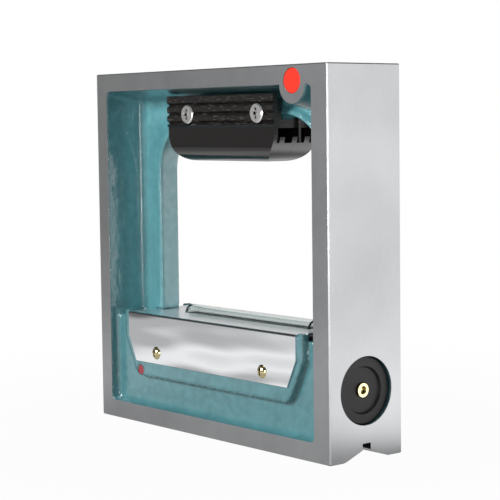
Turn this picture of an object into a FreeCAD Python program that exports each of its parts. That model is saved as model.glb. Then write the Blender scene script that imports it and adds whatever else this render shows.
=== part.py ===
import FreeCAD, Part
import math
import os
from FreeCAD import Vector

# Frame level: X runs along the beam, Y through the frame, Z up; origin in the middle of the sole.

# Frame
frame_length = 200.0
frame_height = 200.0
frame_depth = 50.0
edge_break = 0.6
wall_left = 10.0
wall_right = 12.0
wall_top = 10.0
wall_bottom = 10.0
recess_corner = 3.0
ceiling_slope = 5.0
web_middle = 1.5
web_thickness = 5.0
web_fillet = 1.8

# Arched window above the beam and the raised rim around it
window_margin_left = 24.0
window_margin_right = 11.5
window_margin_top = 15.0
window_corner = 33.0
rim_height = 4.0
rim_foot_margin = 4.7
rim_width_end = 4.5
rim_foot_corner = 42.0
rim_land = 1.6
crest_round = 1.2

# Beam block with its two raised pads
block_top = 60.0
block_recess = 5.5
block_fillet = 2.5
pad_height = 3.5
pad_margin = 4.5
pad_drop = 8.5
pad_corner = 8.0
ear_rise = 1.6
ear_round = 1.3
ear_gap = 0.4

# Grooves of the measuring faces
groove_width = 31.0
groove_depth = 5.0
groove_slot_width = 5.6
groove_slot_depth = 3.4

# Cover of the beam
cover_margin = 14.8
cover_sheet = 1.0
cover_top = 63.4
cover_bend = 1.2
cover_straight = 13.4
cover_drop = 27.9
cover_slant = 7.0
cover_screw_inset = 26.7
cover_screw_level = 41.6
cover_screw_radius = 2.0
cover_head_radius = 3.65
cover_head_height = 1.9
cover_screw_length = 8.0
slot_width_small = 0.9
slot_depth_small = 0.8

# Clear half-round strip in the cover
strip_inset_left = 29.2
strip_inset_right = 11.2
strip_radius = 5.0
strip_rise = 4.6
strip_wall = 1.5
flange_width = 15.0
flange_thickness = 1.0
flange_reach = 3.0
gasket_thickness = 1.0

# Pocket for the main vial
pocket_inset = 3.2
pocket_side = 4.0
pocket_below = 7.2
pocket_corner = 3.0

# Main vial and its carrier
vial_below = 14.0
tube_room = 14.0
tube_radius = 9.0
tube_wall = 1.4
sight_inset = 12.0
sight_width = 10.0
vial_inset = 5.0
vial_radius = 7.0
vial_wall = 1.4
vial_end_wall = 2.5
bubble_length = 22.0
bubble_radius = 1.7
bubble_show = 2.4
ring_width = 4.0
ring_inset = 6.0
cap_plate = 3.0
cap_spigot = 3.0

# Pivot of the carrier
pivot_reach = 7.0
pivot_radius = 2.5
pivot_inset = 0.5
lug_radius = 5.0
lug_width = 16.0

# Zero adjuster
adjuster_rise = 25.2
adjuster_bore = 17.7
adjuster_bore_depth = 8.0
eccentricity = 0.8
nose_radius = 1.5
nose_overrun = 1.0
spindle_radius = 3.0
spindle_head_radius = 4.5
spindle_head_length = 1.6
spindle_tip_radius = 3.6
spindle_tip_length = 2.2
spindle_socket_radius = 2.2
spindle_socket_depth = 1.8
bush_radius = 5.0
bush_length = 10.0
bush_flange_radius = 7.0
bush_flange = 1.4
washer_thickness = 0.5
foot_width = 9.0
foot_below = 4.0

# Cap over the adjuster
cap_sunk = 2.0
cap_skin = 2.1
cap_wall = 2.5
cap_rim_width = 5.2
cap_dish_radius = 11.5
cap_dish_depth = 1.4
cap_hole_clear = 0.35
ring_section = 1.0

# Cross vial
cross_inset = 8.0
cross_base_gap = 2.0
cross_base_inset = 3.5
cross_base_height = 8.3
cross_base_sunk = 6.0
cross_vial_radius = 3.2
cross_vial_inset = 4.5
cross_vial_wall = 0.9
cross_vial_level = 58.4
cross_sight = 4.8
cross_screw_inset = 2.0
cross_screw_radius = 1.0
cross_head_radius = 1.6
cross_head_height = 0.8
cross_screw_length = 10.0

# Grip
grip_end_margin = 54.0
grip_setback = 10.4
grip_drop = 3.7
grip_height = 36.0
grip_end_round = 16.3
grip_edge_round = 8.6
grip_wall = 2.5
grip_sill = 9.8
band_height = 17.5
band_proud = 1.0
merlon_height = 3.2
merlon_width = 3.4
merlon_pitch = 8.6
rib_thickness = 1.6
rib_reach = 2.0
rib_drop = 2.5
bulkhead_inset = 3.5
bulkhead_thickness = 2.0
bulkhead_drop = 7.0
groove_pitch = 5.0
groove_first = 5.2
groove_count = 3
grip_groove_width = 2.6
grip_groove_depth = 1.6
screw_inset = 16.0
screw_offset = 2.5
screw_rise = 1.0
screw_radius = 2.5
screw_head_radius = 5.2
screw_head_height = 3.2
screw_head_proud = 1.5
screw_tail = 5.5
cross_recess_width = 1.5
cross_recess_span = 5.8
cross_recess_depth = 1.8
lug_boss_radius = 7.0
insert_radius = 3.5
insert_length = 5.5

# Plug boss and seals
plug_inset = 14.3
plug_drop = 8.2
plug_radius = 6.4
plug_thickness = 3.0
plug_sunk = 0.05
boss_drop = 0.2
boss_radius = 9.6
boss_spread = 6.0
seal_inset = 9.8
seal_rise = 3.2
seal_radius = 2.7
seal_sunk = 0.2
seal_thickness = 1.5

# Fits
fit = 0.15
running_fit = 0.05
slot_fit = 0.1
screw_fit = 0.2
side_play = 0.6
relief_fit = 0.3
bore_fit = 0.2

os.makedirs("parts", exist_ok=True)

x_left = -frame_length / 2
x_right = frame_length / 2
y_front = -frame_depth / 2
y_back = frame_depth / 2
web_front = web_middle - web_thickness / 2
web_back = web_middle + web_thickness / 2
recess_left = x_left + wall_left
recess_right = x_right - wall_right
recess_top = frame_height - wall_top
ceiling_low = recess_top - ceiling_slope
block_half = y_back - block_recess
pad_face = block_half + pad_height
crest_front = web_front - rim_height
crest_back = web_back + rim_height
plate_under = cover_top - cover_sheet
cover_half = recess_right - cover_margin
pocket_end = cover_half - pocket_inset
adjuster_level = wall_bottom + adjuster_rise
vial_axis = block_top - vial_below
X_AXIS = Vector(1, 0, 0)
Y_AXIS = Vector(0, 1, 0)
Z_AXIS = Vector(0, 0, 1)


def box(x0, x1, y0, y1, z0, z1):
    return Part.makeBox(x1 - x0, y1 - y0, z1 - z0, Vector(x0, y0, z0))


def rod_x(radius, x0, x1, y, z):
    return Part.makeCylinder(radius, x1 - x0, Vector(x0, y, z), X_AXIS)


def rod_y(radius, y0, y1, x, z):
    return Part.makeCylinder(radius, y1 - y0, Vector(x, y0, z), Y_AXIS)


def rod_z(radius, z0, z1, x, y):
    return Part.makeCylinder(radius, z1 - z0, Vector(x, y, z0), Z_AXIS)


def rounded_wire(x0, x1, z0, z1, radius, y):
    # Rectangle with rounded corners in a plane of constant Y.
    k = radius * (1 - math.sqrt(0.5))
    lines = []
    ends = [
        (Vector(x0 + radius, y, z0), Vector(x1 - radius, y, z0), Vector(x1 - k, y, z0 + k)),
        (Vector(x1, y, z0 + radius), Vector(x1, y, z1 - radius), Vector(x1 - k, y, z1 - k)),
        (Vector(x1 - radius, y, z1), Vector(x0 + radius, y, z1), Vector(x0 + k, y, z1 - k)),
        (Vector(x0, y, z1 - radius), Vector(x0, y, z0 + radius), Vector(x0 + k, y, z0 + k)),
    ]
    for i, (start, end, middle) in enumerate(ends):
        following = ends[(i + 1) % len(ends)][0]
        lines.append(Part.makeLine(start, end))
        lines.append(Part.Arc(end, middle, following).toShape())
    return Part.Wire(lines)


def arched_wire(x0, x1, z0, z1, radius, y):
    # Rectangle in a plane of constant Y whose two upper corners are rounded.
    k = radius * (1 - math.sqrt(0.5))
    low_left = Vector(x0, y, z0)
    low_right = Vector(x1, y, z0)
    spring_right = Vector(x1, y, z1 - radius)
    crown_right = Vector(x1 - radius, y, z1)
    crown_left = Vector(x0 + radius, y, z1)
    spring_left = Vector(x0, y, z1 - radius)
    return Part.Wire(
        [
            Part.makeLine(low_left, low_right),
            Part.makeLine(low_right, spring_right),
            Part.Arc(spring_right, Vector(x1 - k, y, z1 - k), crown_right).toShape(),
            Part.makeLine(crown_right, crown_left),
            Part.Arc(crown_left, Vector(x0 + k, y, z1 - k), spring_left).toShape(),
            Part.makeLine(spring_left, low_left),
        ]
    )


def rounded_prism(x0, x1, z0, z1, radius, y0, y1):
    face = Part.Face(rounded_wire(x0, x1, z0, z1, radius, y0))
    return face.extrude(Vector(0, y1 - y0, 0))


def profile_y(points, y0, y1):
    # Closed outline of (x, z) points, extruded along Y.
    corners = [Vector(x, y0, z) for x, z in points]
    face = Part.Face(Part.makePolygon(corners + corners[:1]))
    return face.extrude(Vector(0, y1 - y0, 0))


def profile_x(points, x0, x1):
    # Closed outline of (y, z) points, extruded along X.
    corners = [Vector(x0, y, z) for y, z in points]
    face = Part.Face(Part.makePolygon(corners + corners[:1]))
    return face.extrude(Vector(x1 - x0, 0, 0))


def turned_x(points, y, z):
    # Closed outline of (x, radius) points, turned about an axis along X.
    corners = [Vector(x, y, z + r) for x, r in points]
    face = Part.Face(Part.makePolygon(corners + corners[:1]))
    return face.revolve(Vector(0, y, z), X_AXIS, 360)


def turned_y(points, x, z):
    # Closed outline of (y, radius) points, turned about an axis along Y.
    corners = [Vector(x, y, z + r) for y, r in points]
    face = Part.Face(Part.makePolygon(corners + corners[:1]))
    return face.revolve(Vector(x, 0, z), Y_AXIS, 360)


def mirror_y(shape, y=0.0):
    return shape.mirror(Vector(0, y, 0), Y_AXIS)


def edges_along(shape, axis, test):
    # Straight edges parallel to an axis whose middle passes the test.
    found = []
    for edge in shape.Edges:
        if len(edge.Vertexes) < 2:
            continue
        run = edge.Vertexes[-1].Point - edge.Vertexes[0].Point
        if run.Length > 0 and abs(run.dot(axis)) > run.Length * 0.999:
            if test(edge.BoundBox.Center):
                found.append(edge)
    return found


def edges_in_plane(shape, y, test=None):
    # Edges that lie in the plane of constant Y.
    near = 1e-4
    found = []
    for edge in shape.Edges:
        bound = edge.BoundBox
        if abs(bound.YMin - y) < near and abs(bound.YMax - y) < near:
            if test is None or test(edge):
                found.append(edge)
    return found


def save(name, *solids):
    shape = solids[0] if len(solids) == 1 else Part.makeCompound(list(solids))
    shape.exportStep("parts/" + name + ".step")


# Frame: ground block, hollowed from both faces

body = box(x_left, x_right, y_front, y_back, 0, frame_height)
body = body.makeChamfer(edge_break, body.Edges)


def deep_recess(mouth, web):
    # The ceiling falls towards the web; the walls meet the web in a hollow fillet.
    outer = rounded_wire(recess_left, recess_right, block_top, recess_top, recess_corner, mouth)
    inner = rounded_wire(recess_left, recess_right, block_top, ceiling_low, recess_corner, web)
    hollow = Part.makeLoft([outer, inner], True, True)
    return hollow.makeFillet(web_fillet, edges_in_plane(hollow, web))


def shallow_recess(mouth, face):
    # In front of the beam block.
    low, high = sorted((mouth, face))
    top = block_top + recess_corner + block_fillet
    hollow = rounded_prism(recess_left, recess_right, wall_bottom, top, recess_corner, low, high)
    return hollow.makeFillet(block_fillet, edges_in_plane(hollow, face))


body = body.cut(deep_recess(y_front, web_front))
body = body.cut(deep_recess(y_back, web_back))
body = body.cut(shallow_recess(y_front, -block_half))
body = body.cut(shallow_recess(y_back, block_half))

window_left = recess_left + window_margin_left
window_right = recess_right - window_margin_right
window_top = recess_top - window_margin_top
foot_left = recess_left + rim_foot_margin
foot_right = recess_right - rim_foot_margin
foot_top = window_top + rim_width_end


def rim(web, crest):
    # Slope that rises from the web to a narrow land at the edge of the window.
    foot = arched_wire(foot_left, foot_right, block_top, foot_top, rim_foot_corner, web)
    lip = arched_wire(
        window_left - rim_land,
        window_right + rim_land,
        block_top,
        window_top + rim_land,
        window_corner + rim_land,
        crest,
    )
    return Part.makeLoft([foot, lip], True, True)


body = body.fuse(rim(web_front, crest_front))
body = body.fuse(rim(web_back, crest_back))
opening = Part.Face(arched_wire(window_left, window_right, block_top, window_top, window_corner, y_front))
body = body.cut(opening.extrude(Vector(0, y_back - y_front, 0))).removeSplitter()


def on_lip(edge):
    # The window's own contour: inside the land by less than half its width.
    bound = edge.BoundBox
    reach = rim_land / 2
    wide = bound.XMin > window_left - reach and bound.XMax < window_right + reach
    return wide and bound.ZMin > block_top - reach and bound.ZMax < window_top + reach


body = body.makeFillet(crest_round, edges_in_plane(body, crest_front, on_lip))
body = body.makeFillet(crest_round, edges_in_plane(body, crest_back, on_lip))

# Relief under the web for the cover and the cross vial

relief_front = crest_front - edge_break
relief_back = crest_back + edge_break
relief_left = -cover_half - ear_gap
body = body.cut(box(relief_left, recess_right, relief_front, relief_back, block_top, cover_top + relief_fit))

# Raised pads that the cover lies on, with an ear beside each end of the cover

pad_half = cover_half + pad_margin
slant_top = cover_top - cover_straight
cover_bottom = cover_top - cover_drop
slant_rate = cover_slant / (slant_top - cover_bottom)
pad_bottom = cover_bottom - pad_drop
pad_low_half = pad_half - slant_rate * (slant_top - pad_bottom)
ear_top = plate_under + ear_rise
ear_inner = cover_half + ear_gap


def pad():
    outline = [
        (-pad_half, slant_top),
        (-pad_low_half, pad_bottom),
        (pad_low_half, pad_bottom),
        (pad_half, slant_top),
        (pad_half, ear_top),
        (ear_inner, ear_top),
        (ear_inner, plate_under),
        (-ear_inner, plate_under),
        (-ear_inner, ear_top),
        (-pad_half, ear_top),
    ]
    plate = profile_y(outline, -pad_face, -block_half + edge_break)
    low = edges_along(plate, Y_AXIS, lambda c: c.z < pad_bottom + edge_break)
    plate = plate.makeFillet(pad_corner, low)
    ears = edges_along(plate, Y_AXIS, lambda c: c.z > ear_top - edge_break)
    return plate.makeFillet(ear_round, ears)


body = body.fuse(pad())
body = body.fuse(mirror_y(pad()))

# Boss that carries the round plug, spreading towards the web

plug_place = recess_right - plug_inset
plug_level = frame_height - plug_drop
boss_level = recess_top - boss_drop
boss = Part.makeCone(
    boss_radius, boss_radius + boss_spread, web_front - y_front, Vector(plug_place, y_front, boss_level), Y_AXIS
)
boss = boss.common(
    box(x_left, x_right - wall_right / 2, y_front, web_front, block_top, frame_height - wall_top / 2)
)
body = body.fuse(boss)

# Lugs for the grip screws

grip_half = x_right - grip_end_margin
screw_place = grip_half - screw_inset
screw_level = window_top + screw_rise
screw_places = [screw_offset - screw_place, screw_offset + screw_place]
for x in screw_places:
    body = body.fuse(rod_y(lug_boss_radius, crest_front, crest_back, x, screw_level))
for x in screw_places:
    hole = rod_y(screw_radius + screw_fit, y_front, y_back, x, screw_level)
    hole = hole.common(box(x_left, x_right, crest_front - fit, crest_back + fit, block_top, frame_height))
    body = body.cut(hole)
body = body.removeSplitter()

# Grooves in the sole and in the left face

groove_half = groove_width / 2
groove_slot_half = groove_slot_width / 2
groove_top = groove_depth + groove_slot_depth
sole_groove = profile_x(
    [
        (-groove_half, 0),
        (-groove_slot_half, groove_depth),
        (-groove_slot_half, groove_top),
        (groove_slot_half, groove_top),
        (groove_slot_half, groove_depth),
        (groove_half, 0),
    ],
    x_left,
    x_right,
)
body = body.cut(sole_groove)
side_points = [
    (0, -groove_half),
    (groove_depth, -groove_slot_half),
    (groove_top, -groove_slot_half),
    (groove_top, groove_slot_half),
    (groove_depth, groove_slot_half),
    (0, groove_half),
]
side_corners = [Vector(x_left + x, y, 0) for x, y in side_points]
side_face = Part.Face(Part.makePolygon(side_corners + side_corners[:1]))
body = body.cut(side_face.extrude(Vector(0, 0, frame_height)))

# Pocket of the main vial, seat of the cross vial, bores

pocket_half = tube_radius + pocket_side
pocket_floor = adjuster_level - pocket_below
pocket = box(-pocket_end, pocket_end, -pocket_half, pocket_half, pocket_floor, block_top)
pocket = pocket.makeFillet(pocket_corner, edges_along(pocket, Z_AXIS, lambda c: True))
body = body.cut(pocket)

cross_half = block_half - cross_base_inset
cross_place = recess_right - cross_inset
cross_base_left = pocket_end + cross_base_gap
cross_base_right = recess_right - cross_base_gap
cross_screw_half = cross_half - cross_screw_inset
cross_bottom = block_top - cross_base_sunk
cross_top = cross_bottom + cross_base_height
body = body.cut(
    box(cross_base_left - fit, cross_base_right + fit, -cross_half - fit, cross_half + fit, cross_bottom, cross_top)
)
for side in (-1, 1):
    y = side * cross_screw_half
    body = body.cut(
        rod_z(cross_screw_radius + fit, cross_top - cross_screw_length - fit, block_top, cross_place, y)
    )

bore_end = x_right - adjuster_bore_depth
body = body.cut(rod_x(adjuster_bore, bore_end, x_right, 0, adjuster_level))
body = body.cut(rod_x(bush_radius + fit, bore_end - bush_length - fit, bore_end, 0, adjuster_level))
body = body.cut(rod_x(spindle_radius + screw_fit, pocket_end - pocket_corner, bore_end, 0, adjuster_level))

tube_half = pocket_end - tube_room
pivot_x = -tube_half - pivot_reach
body = body.cut(rod_y(pivot_radius + fit, -pad_face, pad_face, pivot_x, vial_axis))

cover_screw_place = cover_half - cover_screw_inset
for side in (-1, 1):
    x = side * cover_screw_place
    bite = cover_screw_length + fit
    hole = rod_y(cover_screw_radius + fit, -pad_face, -pad_face + bite, x, cover_screw_level)
    body = body.cut(hole)
    body = body.cut(mirror_y(hole))

body = body.cut(rod_y(plug_radius + fit, y_front, y_front + plug_thickness + plug_sunk, plug_place, plug_level))
seal_place = seal_inset - cover_half
seal_level = pad_bottom + seal_rise
seal_face = -pad_face + seal_sunk
body = body.cut(rod_y(seal_radius + fit, -pad_face, seal_face + seal_thickness, seal_place, seal_level))
save("frame", body)

# Cover: bent sheet with two drawn-in flaps

strip_left = cover_half - strip_inset_left
strip_right = cover_half - strip_inset_right
strip_top = cover_top + strip_rise
flap_low_half = cover_half - cover_slant
cover_face = pad_face + cover_sheet
shell = box(-cover_half, cover_half, -cover_face, cover_face, cover_bottom, cover_top)
bends = edges_along(shell, X_AXIS, lambda c: c.z > cover_top - edge_break)
shell = shell.makeFillet(cover_bend, bends)
inside = box(-cover_half, cover_half, -pad_face, pad_face, cover_bottom, plate_under)
shell = shell.cut(inside)
trim = profile_y(
    [
        (-cover_half, cover_top),
        (-cover_half, slant_top),
        (-flap_low_half, cover_bottom),
        (flap_low_half, cover_bottom),
        (cover_half, slant_top),
        (cover_half, cover_top),
    ],
    -cover_face,
    cover_face,
)
shell = shell.common(trim)
slot_half = strip_radius
shell = shell.cut(
    box(-strip_left - fit, strip_right + fit, -slot_half, slot_half, plate_under, cover_top)
)
for side in (-1, 1):
    x = side * cover_screw_place
    shell = shell.cut(rod_y(cover_screw_radius + screw_fit, -cover_face, cover_face, x, cover_screw_level))
save("cover", shell)


def cover_screw(x):
    # Round head with a slot, shank into the pad.
    head = cover_head_radius
    seat = -cover_face
    ball = (head * head + cover_head_height * cover_head_height) / (2 * cover_head_height)
    dome = Part.makeSphere(ball, Vector(x, seat - cover_head_height + ball, cover_screw_level))
    dome = dome.common(rod_y(head, seat - cover_head_height, seat, x, cover_screw_level))
    shank = rod_y(cover_screw_radius, seat, -pad_face + cover_screw_length, x, cover_screw_level)
    slot = box(
        x - slot_width_small / 2,
        x + slot_width_small / 2,
        seat - cover_head_height,
        seat - cover_head_height + slot_depth_small,
        cover_screw_level - head,
        cover_screw_level + head,
    )
    return dome.fuse(shank).cut(slot)


screws = [cover_screw(-cover_screw_place), cover_screw(cover_screw_place)]
screws += [mirror_y(screw) for screw in screws]
save("cover_screws", *screws)

# Clear strip: half-round hood on a flange, closed at both ends

strip_axis = strip_top - strip_radius
flange_top = plate_under - gasket_thickness
flange_bottom = flange_top - flange_thickness
flange_half = flange_width / 2
hood = rod_x(strip_radius, -strip_left, strip_right, 0, strip_axis)
hood = hood.common(box(-strip_left, strip_right, -strip_radius, strip_radius, flange_bottom, strip_top))
flange = box(
    -strip_left - flange_reach, strip_right + flange_reach, -flange_half, flange_half, flange_bottom, flange_top
)
hood = hood.fuse(flange)
bore = rod_x(strip_radius - strip_wall, -strip_left + strip_wall, strip_right - strip_wall, 0, strip_axis)
well = bore.fuse(
    box(
        -strip_left + strip_wall,
        strip_right - strip_wall,
        -strip_radius + strip_wall,
        strip_radius - strip_wall,
        flange_bottom,
        strip_axis,
    )
)
hood = hood.cut(well).removeSplitter()
save("vial_window", hood)

gasket = box(
    -strip_left - flange_reach, strip_right + flange_reach, -flange_half, flange_half, flange_top, plate_under
)
gasket = gasket.cut(
    box(-strip_left - fit, strip_right + fit, -strip_radius - fit, strip_radius + fit, flange_top, plate_under)
)
save("window_gasket", gasket)

# Carrier tube with a sight slot on top

tube_inner = tube_radius - tube_wall
tube = rod_x(tube_radius, -tube_half, tube_half, 0, vial_axis)
tube = tube.cut(rod_x(tube_inner, -tube_half, tube_half, 0, vial_axis))
sight_half = tube_half - sight_inset
sight = box(-sight_half, sight_half, -sight_width / 2, sight_width / 2, vial_axis, vial_axis + tube_radius)
sight = sight.makeFillet(sight_width / 2 - fit, edges_along(sight, Z_AXIS, lambda c: True))
tube = tube.cut(sight)
save("vial_carrier", tube)


def end_cap(inner, outer):
    # Plate against the tube's end and a spigot inside it.
    low, high = sorted((inner, outer))
    plate = rod_x(tube_radius, low, high, 0, vial_axis)
    low, high = sorted((inner, inner + (cap_spigot if outer < inner else -cap_spigot)))
    return plate.fuse(rod_x(tube_inner - fit, low, high, 0, vial_axis))


pivot_cap = end_cap(-tube_half, -tube_half - cap_plate)
lug = rod_y(lug_radius, -lug_width / 2, lug_width / 2, pivot_x, vial_axis)
neck = box(
    pivot_x, -tube_half - cap_plate, -lug_width / 2, lug_width / 2, vial_axis - lug_radius, vial_axis + lug_radius
)
pivot_cap = pivot_cap.fuse(lug.fuse(neck))
pivot_cap = pivot_cap.cut(
    rod_y(pivot_radius + running_fit, -pocket_half, pocket_half, pivot_x, vial_axis)
).removeSplitter()
save("carrier_cap_pivot", pivot_cap)

slot_cap = end_cap(tube_half, tube_half + cap_plate)
foot = box(
    tube_half,
    tube_half + cap_plate,
    -foot_width / 2,
    foot_width / 2,
    adjuster_level - foot_below,
    vial_axis,
)
slot_half_height = nose_radius + slot_fit
slot_reach = nose_radius + eccentricity + 2 * slot_fit
foot_slot = box(
    tube_half,
    tube_half + cap_plate,
    -slot_reach,
    slot_reach,
    adjuster_level - slot_half_height,
    adjuster_level + slot_half_height,
)
slot_cap = slot_cap.fuse(foot).cut(foot_slot).removeSplitter()
save("carrier_cap_slot", slot_cap)

# Main vial: glass, liquid with its bubble, seating rings

vial_half = tube_half - vial_inset
glass = rod_x(vial_radius, -vial_half, vial_half, 0, vial_axis)
glass = glass.makeChamfer(vial_wall, glass.Edges)
hollow_half = vial_half - vial_end_wall
glass_inner = vial_radius - vial_wall
glass = glass.cut(rod_x(glass_inner, -hollow_half, hollow_half, 0, vial_axis))
save("main_vial", glass)

liquid_radius = glass_inner - fit
liquid = rod_x(liquid_radius, -hollow_half + fit, hollow_half - fit, 0, vial_axis)
bubble_half = bubble_length / 2 - bubble_radius
bubble_level = vial_axis + liquid_radius + bubble_radius - bubble_show
bubble = rod_x(bubble_radius, -bubble_half, bubble_half, 0, bubble_level)
bubble = bubble.fuse(Part.makeSphere(bubble_radius, Vector(-bubble_half, 0, bubble_level)))
bubble = bubble.fuse(Part.makeSphere(bubble_radius, Vector(bubble_half, 0, bubble_level)))
liquid = liquid.cut(bubble)
save("main_vial_liquid", liquid)


def seating_ring(x):
    outer = rod_x(tube_inner - fit, x - ring_width / 2, x + ring_width / 2, 0, vial_axis)
    return outer.cut(rod_x(vial_radius + fit, x - ring_width / 2, x + ring_width / 2, 0, vial_axis))


ring_x = vial_half - vial_end_wall - ring_inset + ring_width
save("vial_rings", seating_ring(-ring_x), seating_ring(ring_x))

pivot_half = block_half - pivot_inset
save("pivot_pin", rod_y(pivot_radius, -pivot_half, pivot_half, pivot_x, vial_axis))

# Zero adjuster: eccentric spindle, bush, spring washer

nose_start = tube_half - nose_overrun
spindle_start = tube_half + cap_plate + side_play
bush_face = bore_end + bush_flange
head_start = bush_face + washer_thickness + slot_fit
head_end = head_start + spindle_head_length
tip_end = head_end + spindle_tip_length
spindle = rod_x(spindle_radius, spindle_start, head_start, 0, adjuster_level)
spindle = spindle.fuse(rod_x(spindle_head_radius, head_start, head_end, 0, adjuster_level))
spindle = spindle.fuse(rod_x(spindle_tip_radius, head_end, tip_end, 0, adjuster_level))
spindle = spindle.fuse(rod_x(nose_radius, nose_start, spindle_start, eccentricity, adjuster_level))
spindle = spindle.cut(
    rod_x(spindle_socket_radius, tip_end - spindle_socket_depth, tip_end, 0, adjuster_level)
)
save("zero_spindle", spindle)

bush = rod_x(bush_radius, bore_end - bush_length, bore_end, 0, adjuster_level)
bush = bush.fuse(rod_x(bush_flange_radius, bore_end, bush_face, 0, adjuster_level))
bush = bush.cut(
    rod_x(spindle_radius + running_fit, bore_end - bush_length, bush_face, 0, adjuster_level)
).removeSplitter()
save("spindle_bush", bush)

washer = rod_x(spindle_head_radius, bush_face, bush_face + washer_thickness, 0, adjuster_level)
washer = washer.cut(
    rod_x(spindle_radius + slot_fit, bush_face, bush_face + washer_thickness, 0, adjuster_level)
)
save("spindle_washer", washer)

# Cap in the end bore: flat rim, dished middle, hole for the spindle's tip

cap_radius = adjuster_bore - bore_fit
cap_front = x_right - cap_sunk
cap_hole = spindle_tip_radius + cap_hole_clear
cap_inner = cap_radius - cap_wall
rim_inner = cap_radius - cap_rim_width
dish_floor = cap_front - cap_dish_depth
ring_half = ring_section / 2
ring_place = (bore_end + cap_front) / 2
cap = turned_x(
    [
        (bore_end, cap_inner),
        (bore_end, cap_radius),
        (ring_place - ring_half - fit, cap_radius),
        (ring_place - ring_half - fit, cap_radius - ring_half),
        (ring_place + ring_half + fit, cap_radius - ring_half),
        (ring_place + ring_half + fit, cap_radius),
        (cap_front - edge_break, cap_radius),
        (cap_front, cap_radius - edge_break),
        (cap_front, rim_inner),
        (dish_floor, cap_dish_radius),
        (dish_floor, cap_hole),
        (dish_floor - cap_skin + cap_dish_depth, cap_hole),
        (dish_floor - cap_skin + cap_dish_depth, cap_dish_radius),
        (dish_floor - cap_skin, cap_inner),
    ],
    0,
    adjuster_level,
)
save("adjuster_cap", cap)

ring_outer = adjuster_bore - slot_fit / 2
ring = turned_x(
    [
        (ring_place - ring_half, ring_outer - ring_half),
        (ring_place - ring_half, ring_outer),
        (ring_place + ring_half, ring_outer),
        (ring_place + ring_half, ring_outer - ring_half),
    ],
    0,
    adjuster_level,
)
save("cap_ring", ring)

# Cross vial in its housing

housing = box(cross_base_left, cross_base_right, -cross_half, cross_half, cross_bottom, cross_top)
housing = housing.makeChamfer(edge_break, edges_along(housing, X_AXIS, lambda c: c.z > cross_top - edge_break))
cross_vial_half = cross_half - cross_vial_inset
trough = rod_y(
    cross_vial_radius + fit, -cross_vial_half - fit, cross_vial_half + fit, cross_place, cross_vial_level
)
housing = housing.cut(trough)
housing = housing.cut(
    box(
        cross_place - cross_sight / 2,
        cross_place + cross_sight / 2,
        -cross_vial_half + 2 * fit,
        cross_vial_half - 2 * fit,
        cross_vial_level,
        cross_top,
    )
)
for side in (-1, 1):
    y = side * cross_screw_half
    housing = housing.cut(rod_z(cross_screw_radius + fit, cross_bottom, cross_top, cross_place, y))
    housing = housing.cut(
        rod_z(cross_head_radius + fit, cross_top - cross_head_height, cross_top, cross_place, y)
    )
save("cross_vial_housing", housing)

cross_glass = rod_y(cross_vial_radius, -cross_vial_half, cross_vial_half, cross_place, cross_vial_level)
cross_hollow = cross_vial_half - 2 * cross_vial_wall
cross_inner = cross_vial_radius - cross_vial_wall
cross_glass = cross_glass.cut(rod_y(cross_inner, -cross_hollow, cross_hollow, cross_place, cross_vial_level))
save("cross_vial", cross_glass)
save(
    "cross_vial_liquid",
    rod_y(cross_inner - fit, -cross_hollow + fit, cross_hollow - fit, cross_place, cross_vial_level),
)


def cross_screw(y):
    head = rod_z(cross_head_radius, cross_top - cross_head_height, cross_top, cross_place, y)
    shank = rod_z(cross_screw_radius, cross_top - cross_screw_length, cross_top, cross_place, y)
    return head.fuse(shank).removeSplitter()


save("cross_vial_screws", cross_screw(-cross_screw_half), cross_screw(cross_screw_half))

# Grip: two hollow halves that clamp the lugs above the window

grip_depth = frame_depth - 2 * grip_setback
grip_front_face = web_middle - grip_depth / 2
grip_back_face = web_middle + grip_depth / 2
grip_crest = grip_front_face - band_proud
grip_top = recess_top - grip_drop
grip_bottom = grip_top - grip_height
inner_front = grip_front_face + grip_wall
inner_back = grip_back_face - grip_wall
sill = grip_bottom + grip_sill


def grip_form(inset):
    # Long outline with rounded lower corners, crossed with a section with rounded lower edges.
    end = grip_end_round - inset
    edge = grip_edge_round - inset
    x1 = grip_half - inset
    y0 = grip_front_face + inset
    y1 = grip_back_face - inset
    z0 = grip_bottom + inset
    long_side = box(-x1, x1, y0, y1, z0, grip_top)
    lower = edges_along(long_side, Y_AXIS, lambda c: c.z < grip_bottom + grip_wall + fit)
    long_side = long_side.makeFillet(end, lower)
    section = box(-x1, x1, y0, y1, z0, grip_top)
    lower = edges_along(section, X_AXIS, lambda c: c.z < grip_bottom + grip_wall + fit)
    section = section.makeFillet(edge, lower)
    return long_side.common(section)


def ribbed_band():
    # Raised band along the top of the front face.
    low = grip_top - band_height
    outline = [
        (inner_front, low),
        (grip_front_face, low),
        (grip_crest, low + band_proud),
        (grip_crest, grip_top - edge_break),
        (grip_crest + edge_break, grip_top),
        (inner_front, grip_top),
    ]
    return profile_x(outline, -grip_half, grip_half)


def band_grooves():
    # V-grooves that go through the band into the smooth face.
    half = grip_groove_width / 2
    cutters = []
    for number in range(groove_count):
        level = grip_top - groove_first - number * groove_pitch
        bottom = grip_crest + grip_groove_depth
        outline = [(grip_crest, level - half), (bottom, level), (grip_crest, level + half)]
        cutters.append(profile_x(outline, -grip_half, grip_half))
    return cutters


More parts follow.
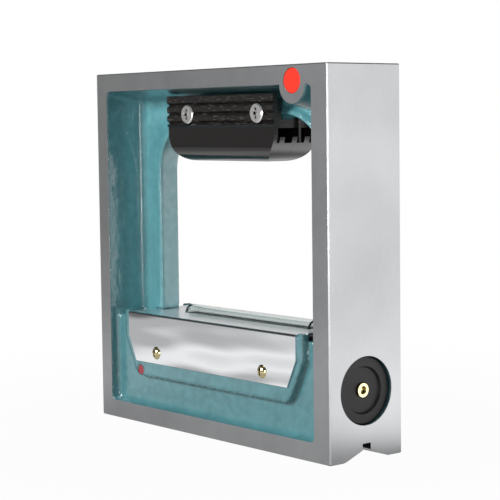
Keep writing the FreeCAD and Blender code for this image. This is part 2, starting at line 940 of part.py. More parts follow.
def grip_end(side):
    # Merlons on the sill, an upright rib above them and a bulkhead that lets the rim through.
    outside = side * grip_half
    wall = side * (grip_half - grip_wall)
    low, high = sorted((outside, wall))
    solids = []
    for place in (-1, 0, 1):
        middle = web_middle + place * merlon_pitch
        left = middle - merlon_width / 2
        merlon = box(low, high, left, left + merlon_width, sill - grip_wall, sill + merlon_height)
        solids.append(merlon.common(grip_form(0)))
    bulkhead_place = grip_half - bulkhead_inset
    low, high = sorted((side * bulkhead_place, side * (bulkhead_place - bulkhead_thickness)))
    bulkhead = box(low, high, inner_front, inner_back, window_top - bulkhead_drop, ceiling_low - web_fillet)
    notch = box(low, high, crest_front - relief_fit, crest_back + relief_fit, window_top - rib_drop, grip_top)
    solids.append(bulkhead.cut(notch))
    low, high = sorted((side * bulkhead_place, side * (bulkhead_place + rib_reach)))
    rib_left = web_middle + merlon_pitch / 2 - rib_thickness / 2
    rib = box(low, high, rib_left, rib_left + rib_thickness, grip_bottom + grip_wall, window_top - rib_drop)
    solids.append(rib.common(grip_form(0)))
    return solids


hollow_grip = grip_form(0).cut(grip_form(grip_wall))
hollow_grip = hollow_grip.cut(box(-grip_half, grip_half, inner_front, inner_back, sill, grip_top))
hollow_grip = hollow_grip.fuse(grip_end(-1) + grip_end(1))
hollow_grip = hollow_grip.fuse([ribbed_band(), mirror_y(ribbed_band(), web_middle)])
for groove in band_grooves():
    hollow_grip = hollow_grip.cut([groove, mirror_y(groove, web_middle)])
for x in screw_places:
    head_seat = grip_front_face + screw_head_height - screw_head_proud
    lug_front = rod_y(lug_boss_radius, inner_front - grip_wall / 2, crest_front, x, screw_level)
    lug_back = rod_y(lug_boss_radius, crest_back, inner_back + grip_wall / 2, x, screw_level)
    hollow_grip = hollow_grip.fuse(lug_front)
    hollow_grip = hollow_grip.fuse(lug_back)
    hollow_grip = hollow_grip.cut(rod_y(screw_radius + screw_fit, grip_crest, crest_front, x, screw_level))
    hollow_grip = hollow_grip.cut(rod_y(screw_head_radius + screw_fit, grip_crest, head_seat, x, screw_level))
    hollow_grip = hollow_grip.cut(
        rod_y(insert_radius + fit, crest_back, crest_back + insert_length + fit, x, screw_level)
    )
parting = fit / 3
front_half = hollow_grip.common(
    box(-grip_half, grip_half, grip_crest, web_middle - parting, grip_bottom, grip_top)
)
back_half = hollow_grip.common(
    box(-grip_half, grip_half, web_middle + parting, grip_back_face + band_proud, grip_bottom, grip_top)
)
save("grip_front", front_half.removeSplitter())
save("grip_back", back_half.removeSplitter())


def grip_screw(x):
    # Flat-topped head with a cross recess.
    seat = grip_front_face + screw_head_height - screw_head_proud
    top = grip_front_face - screw_head_proud
    tail = crest_back + screw_tail
    turned = turned_y(
        [
            (top, 0),
            (top, screw_head_radius - edge_break),
            (top + edge_break, screw_head_radius),
            (seat, screw_head_radius),
            (seat, screw_radius),
            (tail, screw_radius),
            (tail, 0),
        ],
        x,
        screw_level,
    )
    arm = cross_recess_width / 2
    span = cross_recess_span / 2
    upright = box(x - arm, x + arm, top, top + cross_recess_depth, screw_level - span, screw_level + span)
    level = box(x - span, x + span, top, top + cross_recess_depth, screw_level - arm, screw_level + arm)
    return turned.cut(upright).cut(level)


save("grip_screws", *[grip_screw(x) for x in screw_places])


def insert(x):
    body_of_insert = rod_y(insert_radius, crest_back + slot_fit, crest_back + insert_length, x, screw_level)
    hole = rod_y(screw_radius + fit, crest_back, crest_back + insert_length, x, screw_level)
    return body_of_insert.cut(hole)


save("grip_inserts", *[insert(x) for x in screw_places])

# Round plug and small seal

plug_front = y_front + plug_sunk
plug = rod_y(plug_radius, plug_front, plug_front + plug_thickness, plug_place, plug_level)
plug = plug.makeChamfer(edge_break / 2, edges_in_plane(plug, plug_front))
save("seal_plug", plug)
seal = rod_y(seal_radius, seal_face, seal_face + seal_thickness, seal_place, seal_level)
save("seal_dot", seal)
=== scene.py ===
import math

import bpy
from mathutils import Matrix, Vector


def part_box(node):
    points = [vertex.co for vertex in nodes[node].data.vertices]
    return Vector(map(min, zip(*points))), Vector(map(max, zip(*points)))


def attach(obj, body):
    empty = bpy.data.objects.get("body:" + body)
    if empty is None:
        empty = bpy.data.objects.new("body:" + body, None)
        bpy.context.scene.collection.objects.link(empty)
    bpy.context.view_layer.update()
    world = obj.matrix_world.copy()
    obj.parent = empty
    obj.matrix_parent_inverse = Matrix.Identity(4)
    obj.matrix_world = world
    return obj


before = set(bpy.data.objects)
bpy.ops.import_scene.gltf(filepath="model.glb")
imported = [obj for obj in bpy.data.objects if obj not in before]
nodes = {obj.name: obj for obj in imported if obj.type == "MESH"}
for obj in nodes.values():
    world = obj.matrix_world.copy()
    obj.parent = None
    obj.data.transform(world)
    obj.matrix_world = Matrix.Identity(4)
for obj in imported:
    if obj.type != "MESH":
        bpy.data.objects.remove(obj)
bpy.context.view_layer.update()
scene = bpy.context.scene

MM = 0.001

# Where the finishes change, in millimetres

BORDER = 10.0
RIGHT_BORDER = 12.0
PAINT_LAP = 0.2
GROUND_SKIN = 0.07
BORE_RADIUS = 17.85
BORE_DEPTH = 20.0
BORE_EDGE = 0.1
SLOT_HALF = 2.82
SLOT_DEPTH = 8.42
GRIP_BAND = 17.0

# Lines on the vials, in millimetres

MAIN_VIAL_RADIUS = 7.0
LINE_WIDTH = 0.3
FIRST_LINE = 11.0
LINE_PITCH = 2.0
LINES_EACH_SIDE = 6
CROSS_LINE = 3.0

# Directions from the level, along the floor

BACK_RIGHT = (0.77, 0.63, 0.0)
BACK_LEFT = (-0.77, 0.63, 0.0)


# Helpers


def colour(code):
    """sRGB hex to linear RGBA."""
    out = []
    for i in (1, 3, 5):
        c = int(code[i:i + 2], 16) / 255
        out.append(c / 12.92 if c <= 0.04045 else ((c + 0.055) / 1.055) ** 2.4)
    return (*out, 1.0)


def add(tree, kind, inputs=None, **settings):
    """One node with its settings; inputs are values or sockets to link.

    In a node that mixes colours, inputs 6 and 7 are the two colours and output 2 is the mix.
    """
    made = tree.nodes.new(kind)
    for key, value in settings.items():
        setattr(made, key, value)
    for key, value in (inputs or {}).items():
        if isinstance(value, bpy.types.NodeSocket):
            tree.links.new(value, made.inputs[key])
        else:
            made.inputs[key].default_value = value
    return made


def new_material(name):
    """An empty material and the tree that its nodes go in."""
    material = bpy.data.materials.new(name)
    material.use_nodes = True
    tree = material.node_tree
    tree.nodes.clear()
    return material, tree


def in_box(tree, place, low, high):
    """A value that is 1 inside a box and 0 outside it; the corners are in millimetres."""
    axis = add(tree, "ShaderNodeSeparateXYZ", {0: place}).outputs
    inside = 1.0
    for i in range(3):
        middle = (low[i] + high[i]) / 2 * MM
        half = (high[i] - low[i]) / 2 * MM
        near = add(tree, "ShaderNodeMath", {0: axis[i], 1: middle, 2: half}, operation="COMPARE")
        both = add(tree, "ShaderNodeMath", {0: near.outputs[0], 1: inside}, operation="MULTIPLY")
        inside = both.outputs[0]
    return inside


def hollows(tree, distance, low, high, inner, outer):
    """A value that goes from inner in corners and sockets to outer on open faces."""
    shade = add(tree, "ShaderNodeAmbientOcclusion", {"Distance": distance * MM}, samples=8)
    limits = {"From Min": low, "From Max": high, "To Min": inner, "To Max": outer}
    return add(tree, "ShaderNodeMapRange", {"Value": shade.outputs["AO"], **limits}).outputs[0]


def dress(names, material):
    """Give each named piece one material."""
    for name in names:
        target = nodes[name]
        target.data.materials.clear()
        target.data.materials.append(material)


def mesh_piece(name, verts, faces, material):
    """A new flat-shaded piece in the scene."""
    mesh = bpy.data.meshes.new(name)
    mesh.from_pydata(verts, [], faces)
    mesh.validate()
    mesh.update()
    piece = bpy.data.objects.new(name, mesh)
    scene.collection.objects.link(piece)
    mesh.materials.append(material)
    return piece


# Frame


def sprayed_paint(tree, place, bore):
    """Glossy enamel over sand-cast iron: dimples and lumps of the casting, and runs in the corners."""
    # Dimples lie 1.5 mm apart and lumps 5 mm apart, and slow unevenness spreads over 25 mm.
    skin = add(
        tree,
        "ShaderNodeTexNoise",
        {"Vector": place, "Scale": 1 / (1.5 * MM), "Detail": 3.0, "Roughness": 0.55},
    ).outputs[0]
    lumps = add(
        tree, "ShaderNodeTexNoise", {"Vector": place, "Scale": 1 / (5 * MM), "Detail": 1.0}
    ).outputs[0]
    slow = add(
        tree, "ShaderNodeTexNoise", {"Vector": place, "Scale": 1 / (25 * MM), "Detail": 2.0}
    ).outputs[0]
    uneven = add(tree, "ShaderNodeMath", {0: slow, 1: lumps}, operation="ADD").outputs[0]
    tone = add(tree, "ShaderNodeMapRange", {"Value": uneven, "From Min": 0.75, "From Max": 1.25}).outputs[0]
    paint = add(
        tree,
        "ShaderNodeMix",
        {"Factor": tone, 6: colour("#50888f"), 7: colour("#5b979e")},
        data_type="RGBA",
    ).outputs[2]
    # Towards the two open sides it is painted darker: painted shade that leaves the middle of the recess
    # lighter than the faces near the front and back.
    across = add(tree, "ShaderNodeSeparateXYZ", {0: place}).outputs["Y"]
    from_middle = add(tree, "ShaderNodeMath", {0: across}, operation="ABSOLUTE").outputs[0]
    painted_depth_shade = add(
        tree,
        "ShaderNodeMapRange",
        {"Value": from_middle, "From Min": 9 * MM, "From Max": 15 * MM, "To Min": 1.0, "To Max": 0.72},
    ).outputs[0]
    paint = add(tree, "ShaderNodeVectorMath", {0: paint, "Scale": painted_depth_shade}, operation="SCALE").outputs[0]
    # In the bore of the cap it is painted much darker: painted shade in the bore.
    paint = add(
        tree,
        "ShaderNodeMix",
        {"Factor": bore, 6: paint, 7: colour("#1f4145")},
        data_type="RGBA",
    ).outputs[2]

    # It lies thick in the corners and rounds them over about 3.5 mm.
    rounded = add(tree, "ShaderNodeBevel", {"Radius": 3.5 * MM}, samples=8).outputs[0]
    skin_bump = add(
        tree,
        "ShaderNodeBump",
        {"Height": skin, "Strength": 0.4, "Distance": 0.12 * MM, "Normal": rounded},
    ).outputs[0]
    lump_bump = add(
        tree,
        "ShaderNodeBump",
        {"Height": lumps, "Strength": 0.6, "Distance": 0.5 * MM, "Normal": skin_bump},
    ).outputs[0]
    # Runs, 2 mm apart, gather where the faces turn.
    runs = add(
        tree, "ShaderNodeTexNoise", {"Vector": place, "Scale": 1 / (2 * MM), "Detail": 1.0}
    ).outputs[0]
    flat = add(tree, "ShaderNodeNewGeometry").outputs["True Normal"]
    agree = add(
        tree, "ShaderNodeVectorMath", {0: flat, 1: rounded}, operation="DOT_PRODUCT"
    ).outputs["Value"]
    turn = add(
        tree,
        "ShaderNodeMapRange",
        {"Value": agree, "From Min": 0.93, "From Max": 0.995, "To Min": 0.9, "To Max": 0.0},
    ).outputs[0]
    paint_bump = add(
        tree,
        "ShaderNodeBump",
        {"Height": runs, "Strength": turn, "Distance": 1.0 * MM, "Normal": lump_bump},
    ).outputs[0]
    return add(
        tree,
        "ShaderNodeBsdfPrincipled",
        {
            "Base Color": paint,
            "Roughness": 0.3,
            "Coat Weight": 1.0,
            "Coat Roughness": 0.12,
            "Normal": paint_bump,
            "Coat Normal": paint_bump,
        },
    ).outputs[0]


def ground_iron(tree, place, slots):
    """Surface-ground iron: a grey shine drawn out across its scratches, with the relief slots painted near
    black as painted shade.
    """
    # Real scratches are finer. These are drawn three to a millimetre so that they show, and they are
    # 25 times as long as wide.
    stretched = add(tree, "ShaderNodeMapping", {"Vector": place, "Scale": (0.04, 1.0, 0.04)}).outputs[0]
    scratches = add(
        tree, "ShaderNodeTexNoise", {"Vector": stretched, "Scale": 3 / MM, "Detail": 2.0}
    ).outputs[0]
    cloud = add(
        tree, "ShaderNodeTexNoise", {"Vector": place, "Scale": 1 / (60 * MM), "Detail": 2.0}
    ).outputs[0]
    mixed = add(
        tree, "ShaderNodeMath", {0: scratches, 1: 0.35, 2: cloud}, operation="MULTIPLY_ADD"
    ).outputs[0]
    shade = add(tree, "ShaderNodeMapRange", {"Value": mixed, "From Min": 0.45, "From Max": 0.95}).outputs[0]
    ground = add(
        tree,
        "ShaderNodeMix",
        {"Factor": shade, 6: colour("#98999b"), 7: colour("#a9aaab")},
        data_type="RGBA",
    ).outputs[2]
    # The relief slots are painted near black: painted shade.
    ground = add(
        tree,
        "ShaderNodeMix",
        {"Factor": slots, 6: ground, 7: colour("#0c0c0d")},
        data_type="RGBA",
    ).outputs[2]
    bump = add(
        tree, "ShaderNodeBump", {"Height": scratches, "Strength": 0.1, "Distance": 0.02 * MM}
    ).outputs[0]
    return add(
        tree,
        "ShaderNodeBsdfPrincipled",
        {"Base Color": ground, "Metallic": 0.88, "Roughness": 0.34, "Normal": bump},
    ).outputs[0]


def frame_iron():
    """Cast iron: sprayed blue-green paint in the recesses, ground bare metal on the measuring faces."""
    material, tree = new_material("cast_iron_painted_and_ground")
    place = add(tree, "ShaderNodeTexCoord").outputs["Object"]
    low, high = (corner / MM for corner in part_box("frame"))

    # The paint of the recesses ends at the ground borders.
    recesses = in_box(
        tree,
        place,
        (low.x + BORDER - PAINT_LAP, low.y + GROUND_SKIN, low.z + BORDER - PAINT_LAP),
        (high.x - RIGHT_BORDER + PAINT_LAP, high.y - GROUND_SKIN, high.z - BORDER + PAINT_LAP),
    )
    # The bore of the round cap is painted too, up to the ground face.
    cap_low, cap_high = (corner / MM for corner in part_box("adjuster_cap"))
    cap_level = (cap_low.z + cap_high.z) / 2
    end = in_box(
        tree,
        place,
        (high.x - BORE_DEPTH, -BORE_RADIUS, cap_level - BORE_RADIUS),
        (high.x - BORE_EDGE, BORE_RADIUS, cap_level + BORE_RADIUS),
    )
    upright = add(tree, "ShaderNodeVectorMath", {0: place, 1: (0, 1, 1)}, operation="MULTIPLY").outputs[0]
    from_axis = add(
        tree, "ShaderNodeVectorMath", {0: upright, 1: (0, 0, cap_level * MM)}, operation="DISTANCE"
    ).outputs["Value"]
    bore = add(
        tree, "ShaderNodeMath", {0: from_axis, 1: BORE_RADIUS * MM}, operation="LESS_THAN"
    ).outputs[0]
    bore = add(tree, "ShaderNodeMath", {0: bore, 1: end}, operation="MULTIPLY").outputs[0]
    painted = add(tree, "ShaderNodeMath", {0: recesses, 1: bore}, operation="MAXIMUM").outputs[0]

    # The relief slots of both grooves are painted near black: painted shade. Their boxes reach 1 mm past
    # the faces.
    sole_slot = in_box(
        tree,
        place,
        (low.x - 1, -SLOT_HALF, low.z - 1),
        (high.x + 1, SLOT_HALF, low.z + SLOT_DEPTH),
    )
    left_slot = in_box(
        tree,
        place,
        (low.x - 1, -SLOT_HALF, low.z - 1),
        (low.x + SLOT_DEPTH, SLOT_HALF, high.z + 1),
    )
    slots = add(tree, "ShaderNodeMath", {0: sole_slot, 1: left_slot}, operation="MAXIMUM").outputs[0]

    ground = ground_iron(tree, place, slots)
    paint = sprayed_paint(tree, place, bore)
    whole = add(tree, "ShaderNodeMixShader", {0: painted, 1: ground, 2: paint}).outputs[0]
    add(tree, "ShaderNodeOutputMaterial", {"Surface": whole})
    return material


# Metal pieces


def chrome_plate():
    """Bright chrome over bent sheet steel: a mirror with a faint ripple from bending."""
    material, tree = new_material("chrome_plated_sheet")
    coordinates = add(tree, "ShaderNodeTexCoord").outputs
    drawn = add(
        tree, "ShaderNodeMapping", {"Vector": coordinates["Object"], "Scale": (0.3, 0.08, 1.1)}
    ).outputs[0]
    ripple = add(
        tree, "ShaderNodeTexNoise", {"Vector": drawn, "Scale": 1 / (30 * MM), "Detail": 1.0}
    ).outputs[0]
    bump = add(tree, "ShaderNodeBump", {"Height": ripple, "Strength": 1.0, "Distance": 2.2 * MM}).outputs[0]
    # The top is brushed, the flaps are bright.
    facing_up = add(tree, "ShaderNodeSeparateXYZ", {0: coordinates["Normal"]}).outputs["Z"]
    dull = add(
        tree,
        "ShaderNodeMapRange",
        {"Value": facing_up, "From Min": 0.9, "From Max": 0.99, "To Min": 0.07, "To Max": 0.3},
    ).outputs[0]
    shader = add(
        tree,
        "ShaderNodeBsdfPrincipled",
        {"Base Color": colour("#e6e8ea"), "Metallic": 1.0, "Roughness": dull, "Normal": bump},
    ).outputs[0]
    add(tree, "ShaderNodeOutputMaterial", {"Surface": shader})
    return material


def turned_metal(name, code, roughness):
    """Machined metal: turning marks break up the highlight, and painted shade darkens slots and corners."""
    material, tree = new_material(name)
    place = add(tree, "ShaderNodeTexCoord").outputs["Object"]
    # Real turning marks are finer. These are drawn 0.6 mm apart so that they show.
    marks = add(
        tree, "ShaderNodeTexNoise", {"Vector": place, "Scale": 1 / (0.6 * MM), "Detail": 2.0}
    ).outputs[0]
    rough = add(
        tree, "ShaderNodeMapRange", {"Value": marks, "To Min": roughness * 0.8, "To Max": roughness * 1.25}
    ).outputs[0]
    bump = add(
        tree, "ShaderNodeBump", {"Height": marks, "Strength": 0.08, "Distance": 0.02 * MM}
    ).outputs[0]
    # Slots, sockets and corners are painted dark: painted shade.
    unshaded = hollows(tree, 1.5, low=0.4, high=0.85, inner=0.0, outer=1.0)
    tint = add(
        tree, "ShaderNodeMix", {"Factor": unshaded, 6: colour("#0d0b08"), 7: colour(code)}, data_type="RGBA"
    ).outputs[2]
    shader = add(
        tree,
        "ShaderNodeBsdfPrincipled",
        {"Base Color": tint, "Metallic": 1.0, "Roughness": rough, "Normal": bump},
    ).outputs[0]
    add(tree, "ShaderNodeOutputMaterial", {"Surface": shader})
    return material


# Plastic, rubber and lacquer


def moulded(name, code, roughness, grain, depth, coat=0.0, hollow=3, ends=0.0, specular=0.5):
    """Moulded or poured matter: a fine grain, glossiest on open faces and matt in hollows.

    Grain and hollow are in millimetres, and ends is the roughness of sawn ends. Grain that is finer than
    0.2 mm on the real piece is drawn that coarse or coarser, so that it shows.
    """
    material, tree = new_material(name)
    coordinates = add(tree, "ShaderNodeTexCoord").outputs
    pits = add(
        tree,
        "ShaderNodeTexNoise",
        {"Vector": coordinates["Object"], "Scale": 1 / (grain * MM), "Detail": 2.0},
    ).outputs[0]
    rough = add(
        tree, "ShaderNodeMapRange", {"Value": pits, "To Min": roughness * 0.85, "To Max": roughness * 1.2}
    ).outputs[0]
    facing = add(tree, "ShaderNodeSeparateXYZ", {0: coordinates["Normal"]}).outputs["X"]
    sideways = add(tree, "ShaderNodeMath", {0: facing}, operation="ABSOLUTE").outputs[0]
    sawn = add(
        tree,
        "ShaderNodeMapRange",
        {"Value": sideways, "From Min": 0.9, "From Max": 0.97, "To Min": 0.0, "To Max": ends},
    ).outputs[0]
    recess = hollows(tree, hollow, low=0.15, high=0.4, inner=0.85, outer=0.0)
    matt = add(tree, "ShaderNodeMath", {0: sawn, 1: recess}, operation="MAXIMUM").outputs[0]
    rough = add(tree, "ShaderNodeMath", {0: rough, 1: matt}, operation="MAXIMUM").outputs[0]
    gloss = add(
        tree, "ShaderNodeMapRange", {"Value": matt, "From Max": 0.5, "To Min": coat, "To Max": 0.0}
    ).outputs[0]
    bump = add(
        tree, "ShaderNodeBump", {"Height": pits, "Strength": depth, "Distance": 0.05 * MM}
    ).outputs[0]
    shader = add(
        tree,
        "ShaderNodeBsdfPrincipled",
        {
            "Base Color": colour(code),
            "Roughness": rough,
            "Specular IOR Level": specular,
            "Coat Weight": gloss,
            "Normal": bump,
        },
    ).outputs[0]
    add(tree, "ShaderNodeOutputMaterial", {"Surface": shader})
    return material


def scuff_and_highlight(material, height):
    """Pale streaks along the piece, 0.7 mm apart, above a height in millimetres: partly wear, partly
    painted highlight on the crests.
    """
    tree = material.node_tree
    shader = next(node for node in tree.nodes if node.type == "BSDF_PRINCIPLED")
    place = add(tree, "ShaderNodeTexCoord").outputs["Object"]
    drawn = add(tree, "ShaderNodeMapping", {"Vector": place, "Scale": (0.12, 0.5, 1.0)}).outputs[0]
    streaks = add(
        tree, "ShaderNodeTexNoise", {"Vector": drawn, "Scale": 1 / (0.7 * MM), "Detail": 3.0}
    ).outputs[0]
    wear_and_highlight = add(
        tree,
        "ShaderNodeMapRange",
        {"Value": streaks, "From Min": 0.55, "From Max": 0.76, "To Min": 0.0, "To Max": 0.6},
    ).outputs[0]
    level = add(tree, "ShaderNodeSeparateXYZ", {0: place}).outputs["Z"]
    above = add(tree, "ShaderNodeMath", {0: level, 1: height * MM}, operation="GREATER_THAN").outputs[0]
    wear_and_highlight = add(tree, "ShaderNodeMath", {0: wear_and_highlight, 1: above}, operation="MULTIPLY").outputs[0]
    plain = tuple(shader.inputs["Base Color"].default_value)
    tint = add(
        tree, "ShaderNodeMix", {"Factor": wear_and_highlight, 6: plain, 7: colour("#6f6c69")}, data_type="RGBA"
    ).outputs[2]
    tree.links.new(tint, shader.inputs["Base Color"])


# Clear pieces


def clear(name, code, ior, roughness):
    """Clear body that light passes through, with faint smears 8 mm apart on its surface."""
    material, tree = new_material(name)
    place = add(tree, "ShaderNodeTexCoord").outputs["Object"]
    smears = add(
        tree, "ShaderNodeTexNoise", {"Vector": place, "Scale": 1 / (8 * MM), "Detail": 2.0}
    ).outputs[0]
    rough = add(
        tree, "ShaderNodeMapRange", {"Value": smears, "To Min": roughness * 0.5, "To Max": roughness * 1.5}
    ).outputs[0]
    shader = add(
        tree,
        "ShaderNodeBsdfPrincipled",
        {"Base Color": colour(code), "Roughness": rough, "IOR": ior, "Transmission Weight": 1.0},
    ).outputs[0]
    add(tree, "ShaderNodeOutputMaterial", {"Surface": shader})
    return material


# What each piece is made of

dress(["frame"], frame_iron())
dress(["cover"], chrome_plate())

# Turned brass, polished: small warm mirrors, with painted shade in the slots.
brass = turned_metal("turned_brass", "#e6d7a6", roughness=0.16)
dress(["cover_screws", "grip_inserts", "zero_spindle"], brass)

# Drawn brass tube, left as drawn: browner and duller than the screws.
brass_tube = turned_metal("drawn_brass_tube", "#c9a86a", roughness=0.3)
dress(["vial_carrier", "carrier_cap_pivot", "carrier_cap_slot"], brass_tube)

# Ground steel: a plain grey with a soft highlight.
steel = turned_metal("ground_steel", "#b9babb", roughness=0.3)
dress(["pivot_pin", "spindle_bush", "spindle_washer", "cross_vial_screws"], steel)

# Zinc plate on steel: nearly white heads, with painted shade in the cross.
screw_steel = turned_metal("zinc_plated_screw", "#f6f5f2", roughness=0.3)
dress(["grip_screws"], screw_steel)

# Moulded phenolic: black and glossy, matt in the grooves of the band and on the sawn ends.
grip_black = moulded(
    "glossy_black_phenolic",
    "#151211",
    roughness=0.2,
    grain=0.5,
    depth=0.05,
    coat=0.4,
    hollow=9,
    ends=0.6,
)
# Pale streaks on the band above the ribs: partly wear, partly painted highlight.
scuff_and_highlight(grip_black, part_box("grip_front")[1].z / MM - GRIP_BAND)
dress(["grip_front", "grip_back"], grip_black)

# Moulded nylon: a soft grey sheen over black.
cap_black = moulded("satin_black_nylon", "#161617", roughness=0.5, grain=0.4, depth=0.2, specular=0.3)
dress(["adjuster_cap"], cap_black)

# Moulded ABS with an eroded grain: an even matt black.
housing_black = moulded("matt_black_abs", "#141414", roughness=0.5, grain=0.4, depth=0.2)
dress(["cross_vial_housing"], housing_black)

# Sealing lacquer over the plug: strong red with a wet gloss.
red_lacquer = moulded("red_sealing_lacquer", "#ee301c", roughness=0.3, grain=1.2, depth=0.15, coat=0.3)
dress(["seal_plug"], red_lacquer)

# Sealing lacquer dabbed on by hand: darker and rougher.
dark_red = moulded("dark_red_sealing_lacquer", "#8a1c2c", roughness=0.3, grain=0.8, depth=0.3, coat=0.3)
dress(["seal_dot"], dark_red)

# Nitrile rubber: dull black.
rubber = moulded("black_nitrile_rubber", "#101010", roughness=0.7, grain=0.3, depth=0.3)
dress(["cap_ring"], rubber)

# Silicone rubber: a pale grey line round the strip.
silicone = moulded("grey_silicone_rubber", "#a9b0b1", roughness=0.5, grain=0.3, depth=0.2)
dress(["window_gasket"], silicone)

# Cast gypsum: chalky and off-white.
seat_white = moulded("white_gypsum", "#d8d5cc", roughness=0.85, grain=0.3, depth=0.4)
dress(["vial_rings"], seat_white)

# Extruded acrylic: clear with a touch of smoke.
acrylic = clear("smoky_acrylic", "#dfe5e4", ior=1.49, roughness=0.02)
dress(["vial_window"], acrylic)

# Ground borosilicate glass: clear and nearly colourless.
vial_glass = clear("borosilicate_glass", "#f2fafa", ior=1.47, roughness=0.01)
dress(["main_vial", "cross_vial"], vial_glass)

# Dyed spirit: a pale green that shows the bubble's edge.
spirit = clear("tinted_vial_spirit", "#b9e0d2", ior=1.35, roughness=0.005)
dress(["main_vial_liquid", "cross_vial_liquid"], spirit)


# Scale lines of the vials

# Fired enamel: fine dark lines with a slight shine.
scale_ink = moulded("black_fired_enamel", "#101214", roughness=0.4, grain=0.2, depth=0.05)


def scale_lines(name, along, middle, radius, places, span):
    """Thin raised bands over the top of a vial, one at each place along it; span is in degrees."""
    verts, faces = [], []
    steps = 24
    skin = 0.02 * MM
    thick = 0.04 * MM
    half_width = LINE_WIDTH * MM / 2
    for place in places:
        base = len(verts)
        for i in range(steps + 1):
            angle = math.radians(-span / 2 + span * i / steps)
            for reach in (radius + skin, radius + skin + thick):
                side = reach * math.sin(angle)
                height = middle.z + reach * math.cos(angle)
                for offset in (-half_width, half_width):
                    if along == "X":
                        verts.append((place + offset, middle.y + side, height))
                    else:
                        verts.append((middle.x + side, place + offset, height))
        for i in range(steps):
            a = base + 4 * i
            b = a + 4
            faces += [(a, b, b + 1, a + 1), (a + 2, a + 3, b + 3, b + 2)]
            faces += [(a, a + 2, b + 2, b), (a + 1, b + 1, b + 3, a + 3)]
        last = base + 4 * steps
        faces += [(base, base + 1, base + 3, base + 2), (last, last + 2, last + 3, last + 1)]
    return mesh_piece(name, verts, faces, scale_ink)


vial_low, vial_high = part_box("main_vial")
vial_middle = Vector((0, 0, (vial_low.z + vial_high.z) / 2))
vial_places = [
    side * (FIRST_LINE + LINE_PITCH * n) * MM for side in (-1, 1) for n in range(LINES_EACH_SIDE)
]
main_scale = scale_lines(
    "main_vial_scale", "X", vial_middle, MAIN_VIAL_RADIUS * MM, vial_places, span=110
)
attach(main_scale, "vial_unit")

cross_low, cross_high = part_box("cross_vial")
cross_middle = Vector(((cross_low.x + cross_high.x) / 2, 0, (cross_low.z + cross_high.z) / 2))
cross_radius = (cross_high.x - cross_low.x) / 2
cross_places = (-CROSS_LINE * MM, CROSS_LINE * MM)
cross_scale = scale_lines(
    "cross_vial_scale", "Y", cross_middle, cross_radius, cross_places, span=100
)
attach(cross_scale, "level")


# Floor and room


def backdrop_paper():
    """White studio paper: pure white to the camera and through glass; to reflections it glows grey and
    unevenly, a painted reflection with a painted shadow under the level.
    """
    material, tree = new_material("white_studio_paper")
    path = add(tree, "ShaderNodeLightPath").outputs
    place = add(tree, "ShaderNodeTexCoord").outputs["Object"]
    reach = add(tree, "ShaderNodeVectorMath", {0: place}, operation="LENGTH").outputs["Value"]

    # How the paper changes with distance: start and end of each change in metres, and its values there.
    changes = {
        "grey": (0.7, 1.3, 0.52, 0.16),
        "bright": (0.24, 0.4, 0.58, 0.0),
        "painted_contact_shadow": (0.12, 0.26, 0.45, 1.0),
        "side_fade": (0.4, 2.0, 1.0, 0.45),
        "shadow": (0.15, 0.4, 0.97, 1.0),
    }
    ring = {}
    for name, (start, end, inner, outer) in changes.items():
        limits = {"From Min": start, "From Max": end, "To Min": inner, "To Max": outer}
        ring[name] = add(tree, "ShaderNodeMapRange", {"Value": reach, **limits}).outputs[0]

    # What metal and gloss see of it is painted reflection: a glow around the level, a painted shadow under
    # it, and a bright glow to the back right.
    near = add(tree, "ShaderNodeMath", {0: ring["grey"], 1: ring["bright"]}, operation="ADD").outputs[0]
    near = add(tree, "ShaderNodeMath", {0: near, 1: ring["painted_contact_shadow"]}, operation="MULTIPLY").outputs[0]
    to_side = add(
        tree, "ShaderNodeVectorMath", {0: place, 1: BACK_RIGHT}, operation="DOT_PRODUCT"
    ).outputs["Value"]
    side = add(
        tree,
        "ShaderNodeMapRange",
        {"Value": to_side, "From Min": 0.08, "From Max": 0.16, "To Min": 0.0, "To Max": 2.2},
    ).outputs[0]
    side = add(tree, "ShaderNodeMath", {0: side, 1: ring["side_fade"]}, operation="MULTIPLY").outputs[0]
    lit = add(tree, "ShaderNodeMath", {0: near, 1: side}, operation="MAXIMUM").outputs[0]
    shine = add(tree, "ShaderNodeMath", {0: path["Is Glossy Ray"], 1: lit}, operation="MULTIPLY").outputs[0]

    # What the camera sees of it: white, with a trace of the level's shadow.
    through = add(
        tree,
        "ShaderNodeMath",
        {0: path["Is Camera Ray"], 1: path["Is Transmission Ray"]},
        operation="MAXIMUM",
    ).outputs[0]
    white = add(tree, "ShaderNodeMath", {0: through, 1: ring["shadow"]}, operation="MULTIPLY").outputs[0]
    paper = add(tree, "ShaderNodeBsdfDiffuse", {"Color": colour("#7a7a7a")}).outputs[0]
    dark = add(tree, "ShaderNodeBsdfDiffuse", {"Color": colour("#000000")}).outputs[0]
    base = add(tree, "ShaderNodeMixShader", {0: path["Is Glossy Ray"], 1: paper, 2: dark}).outputs[0]
    strength = add(tree, "ShaderNodeMath", {0: shine, 1: through}, operation="MAXIMUM").outputs[0]
    glow = add(tree, "ShaderNodeEmission", {"Color": colour("#ffffff"), "Strength": strength}).outputs[0]
    share = add(
        tree, "ShaderNodeMath", {0: white, 1: path["Is Glossy Ray"]}, operation="MAXIMUM"
    ).outputs[0]
    whole = add(tree, "ShaderNodeMixShader", {0: share, 1: base, 2: glow}).outputs[0]
    add(tree, "ShaderNodeOutputMaterial", {"Surface": whole})
    return material


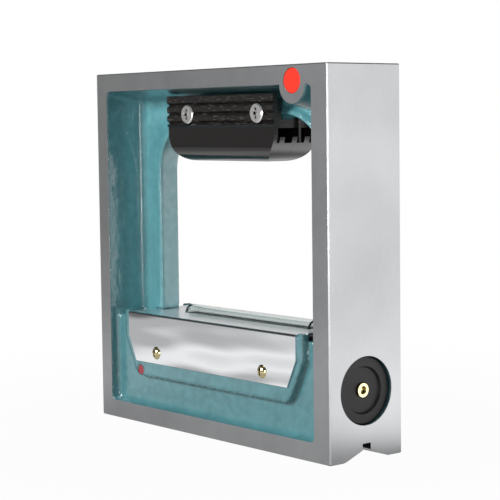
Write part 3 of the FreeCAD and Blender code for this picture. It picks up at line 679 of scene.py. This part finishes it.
def studio_room():
    """A room that is white to the camera. Metal and gloss see it dim, with two white panels."""
    world = bpy.data.worlds.new("studio")
    world.use_nodes = True
    tree = world.node_tree
    tree.nodes.clear()
    path = add(tree, "ShaderNodeLightPath").outputs
    seen = add(
        tree,
        "ShaderNodeMath",
        {0: path["Is Camera Ray"], 1: path["Is Transmission Ray"]},
        operation="MAXIMUM",
    ).outputs[0]
    heading = add(tree, "ShaderNodeTexCoord").outputs["Generated"]
    rise = add(tree, "ShaderNodeSeparateXYZ", {0: heading}).outputs["Z"]

    # Grey at the horizon, nearly black above.
    walls = add(
        tree,
        "ShaderNodeMapRange",
        {"Value": rise, "From Min": 0.09, "From Max": 0.25, "To Min": 0.22, "To Max": 0.05},
    ).outputs[0]
    # One panel stands at the back right.
    to_panel = add(
        tree, "ShaderNodeVectorMath", {0: heading, 1: BACK_RIGHT}, operation="DOT_PRODUCT"
    ).outputs["Value"]
    panel = add(
        tree,
        "ShaderNodeMapRange",
        {"Value": to_panel, "From Min": 0.35, "From Max": 0.8, "To Min": 0.0, "To Max": 0.8},
    ).outputs[0]
    # The other, a low screen, stands at the back left.
    to_screen = add(
        tree, "ShaderNodeVectorMath", {0: heading, 1: BACK_LEFT}, operation="DOT_PRODUCT"
    ).outputs["Value"]
    screen = add(
        tree,
        "ShaderNodeMapRange",
        {"Value": to_screen, "From Min": 0.6, "From Max": 0.85, "To Min": 0.0, "To Max": 0.9},
    ).outputs[0]
    under = add(
        tree,
        "ShaderNodeMapRange",
        {"Value": rise, "From Min": 0.25, "From Max": 0.5, "To Min": 1.0, "To Max": 0.0},
    ).outputs[0]
    screen = add(tree, "ShaderNodeMath", {0: screen, 1: under}, operation="MULTIPLY").outputs[0]

    room = walls
    for light in (panel, screen, seen):
        room = add(tree, "ShaderNodeMath", {0: room, 1: light}, operation="MAXIMUM").outputs[0]
    background = add(
        tree, "ShaderNodeBackground", {"Color": colour("#ffffff"), "Strength": room}
    ).outputs[0]
    add(tree, "ShaderNodeOutputWorld", {"Surface": background})
    return world


floor_half = 6
floor = mesh_piece(
    "studio_floor",
    [
        (-floor_half, -floor_half, 0),
        (floor_half, -floor_half, 0),
        (floor_half, floor_half, 0),
        (-floor_half, floor_half, 0),
    ],
    [(0, 1, 2, 3)],
    backdrop_paper(),
)
scene.world = studio_room()


# Lamps


def lamp(name, place, target, width, height, watts):
    """A rectangular lamp that faces its target; its place and size are in metres."""
    data = bpy.data.lights.new(name, "AREA")
    data.energy = watts
    data.shape = "RECTANGLE"
    data.size = width
    data.size_y = height
    piece = bpy.data.objects.new(name, data)
    piece.location = place
    piece.rotation_euler = (Vector(target) - Vector(place)).to_track_quat("-Z", "Y").to_euler()
    scene.collection.objects.link(piece)


lamp("right_softbox", (1.5, 1.0, 0.55), (0, 0, 0.1), width=1.3, height=1.3, watts=8)
lamp("front_softbox", (-0.25, -1.25, 0.6), (0, 0, 0.12), width=0.4, height=0.4, watts=19)
# A narrow strip at the level's own height, for the glints on the painted corners.
lamp("corner_glint", (0.75, -0.9, 0.12), (0, 0, 0.12), width=0.07, height=0.32, watts=4)
lamp("back_softbox", (-0.5, 1.3, 0.6), (0, 0, 0.1), width=0.6, height=0.6, watts=12)
lamp("top_softbox", (0.1, -0.3, 1.8), (0, 0, 0.1), width=1.0, height=1.0, watts=9)


# The camera that the photograph implies: 50.6 degrees to the side of the front face, 4.6 degrees down

YAW = math.radians(50.562)
PITCH = math.radians(4.571)
ROLL = math.radians(-0.733)
CAMERA_PLACE = (679.03 * MM, -551.24 * MM, 171.08 * MM)
FOCAL_PIXELS = 1594.2
IMAGE_PIXELS = 500
SENSOR_WIDTH = 36.0
NEAR_LIMIT = 0.01

forward = Vector((-math.sin(YAW) * math.cos(PITCH), math.cos(YAW) * math.cos(PITCH), -math.sin(PITCH)))
right = forward.cross(Vector((0, 0, 1))).normalized()
up = right.cross(forward)
image_right = right * math.cos(ROLL) + up * math.sin(ROLL)
image_up = up * math.cos(ROLL) - right * math.sin(ROLL)
turn = Matrix((image_right, image_up, -forward)).transposed().to_4x4()
camera_data = bpy.data.cameras.new("studio_camera")
camera_data.sensor_width = SENSOR_WIDTH
camera_data.lens = FOCAL_PIXELS / IMAGE_PIXELS * SENSOR_WIDTH
camera_data.clip_start = NEAR_LIMIT
camera = bpy.data.objects.new("studio_camera", camera_data)
camera.matrix_world = Matrix.Translation(CAMERA_PLACE) @ turn
scene.collection.objects.link(camera)
scene.camera = camera

scene.view_settings.view_transform = "Standard"
